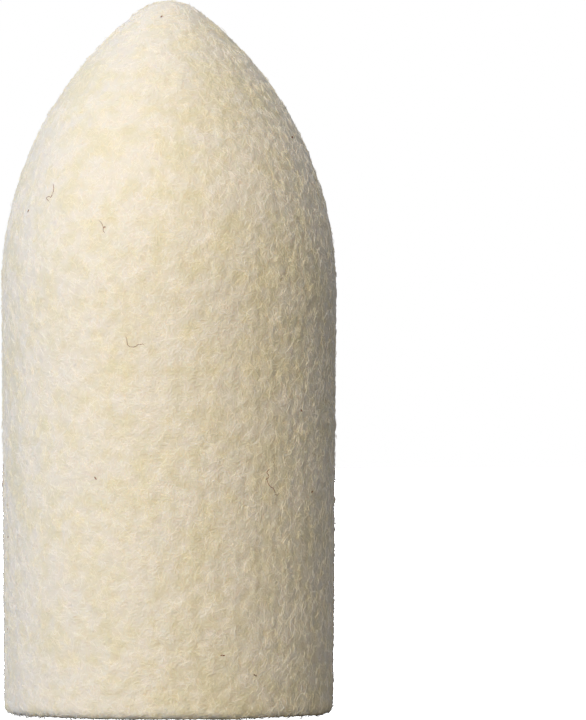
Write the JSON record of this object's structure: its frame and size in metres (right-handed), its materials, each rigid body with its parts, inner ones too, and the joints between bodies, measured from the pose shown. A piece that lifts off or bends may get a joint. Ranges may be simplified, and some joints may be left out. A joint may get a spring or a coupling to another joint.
{
  "type": "felt polishing bob",
  "caption": "Bullet-shaped polishing bob of hard pressed wool felt, with a blind pilot hole in its flat base for a screw-point mandrel.",
  "frame": {"origin": "centre of the flat base, at the mouth of the pilot hole", "axes": "+Z along the bob's axis, from the base to the tip; X and Y are any two directions across it, since the bob is round"},
  "size_m": [0.0094, 0.0094, 0.02],
  "materials": {
    "pressed_wool": "hard pressed undyed wool felt, ivory, with a short fuzzy nap of fine curled fibres",
    "browned_wool": "the same felt, browned and stiffened by the hole's making, ragged at the mouth"
  },
  "bodies": {
    "root": {"felt_body": "pressed_wool", "bore_lining": "browned_wool"}
  },
  "joints": []
}
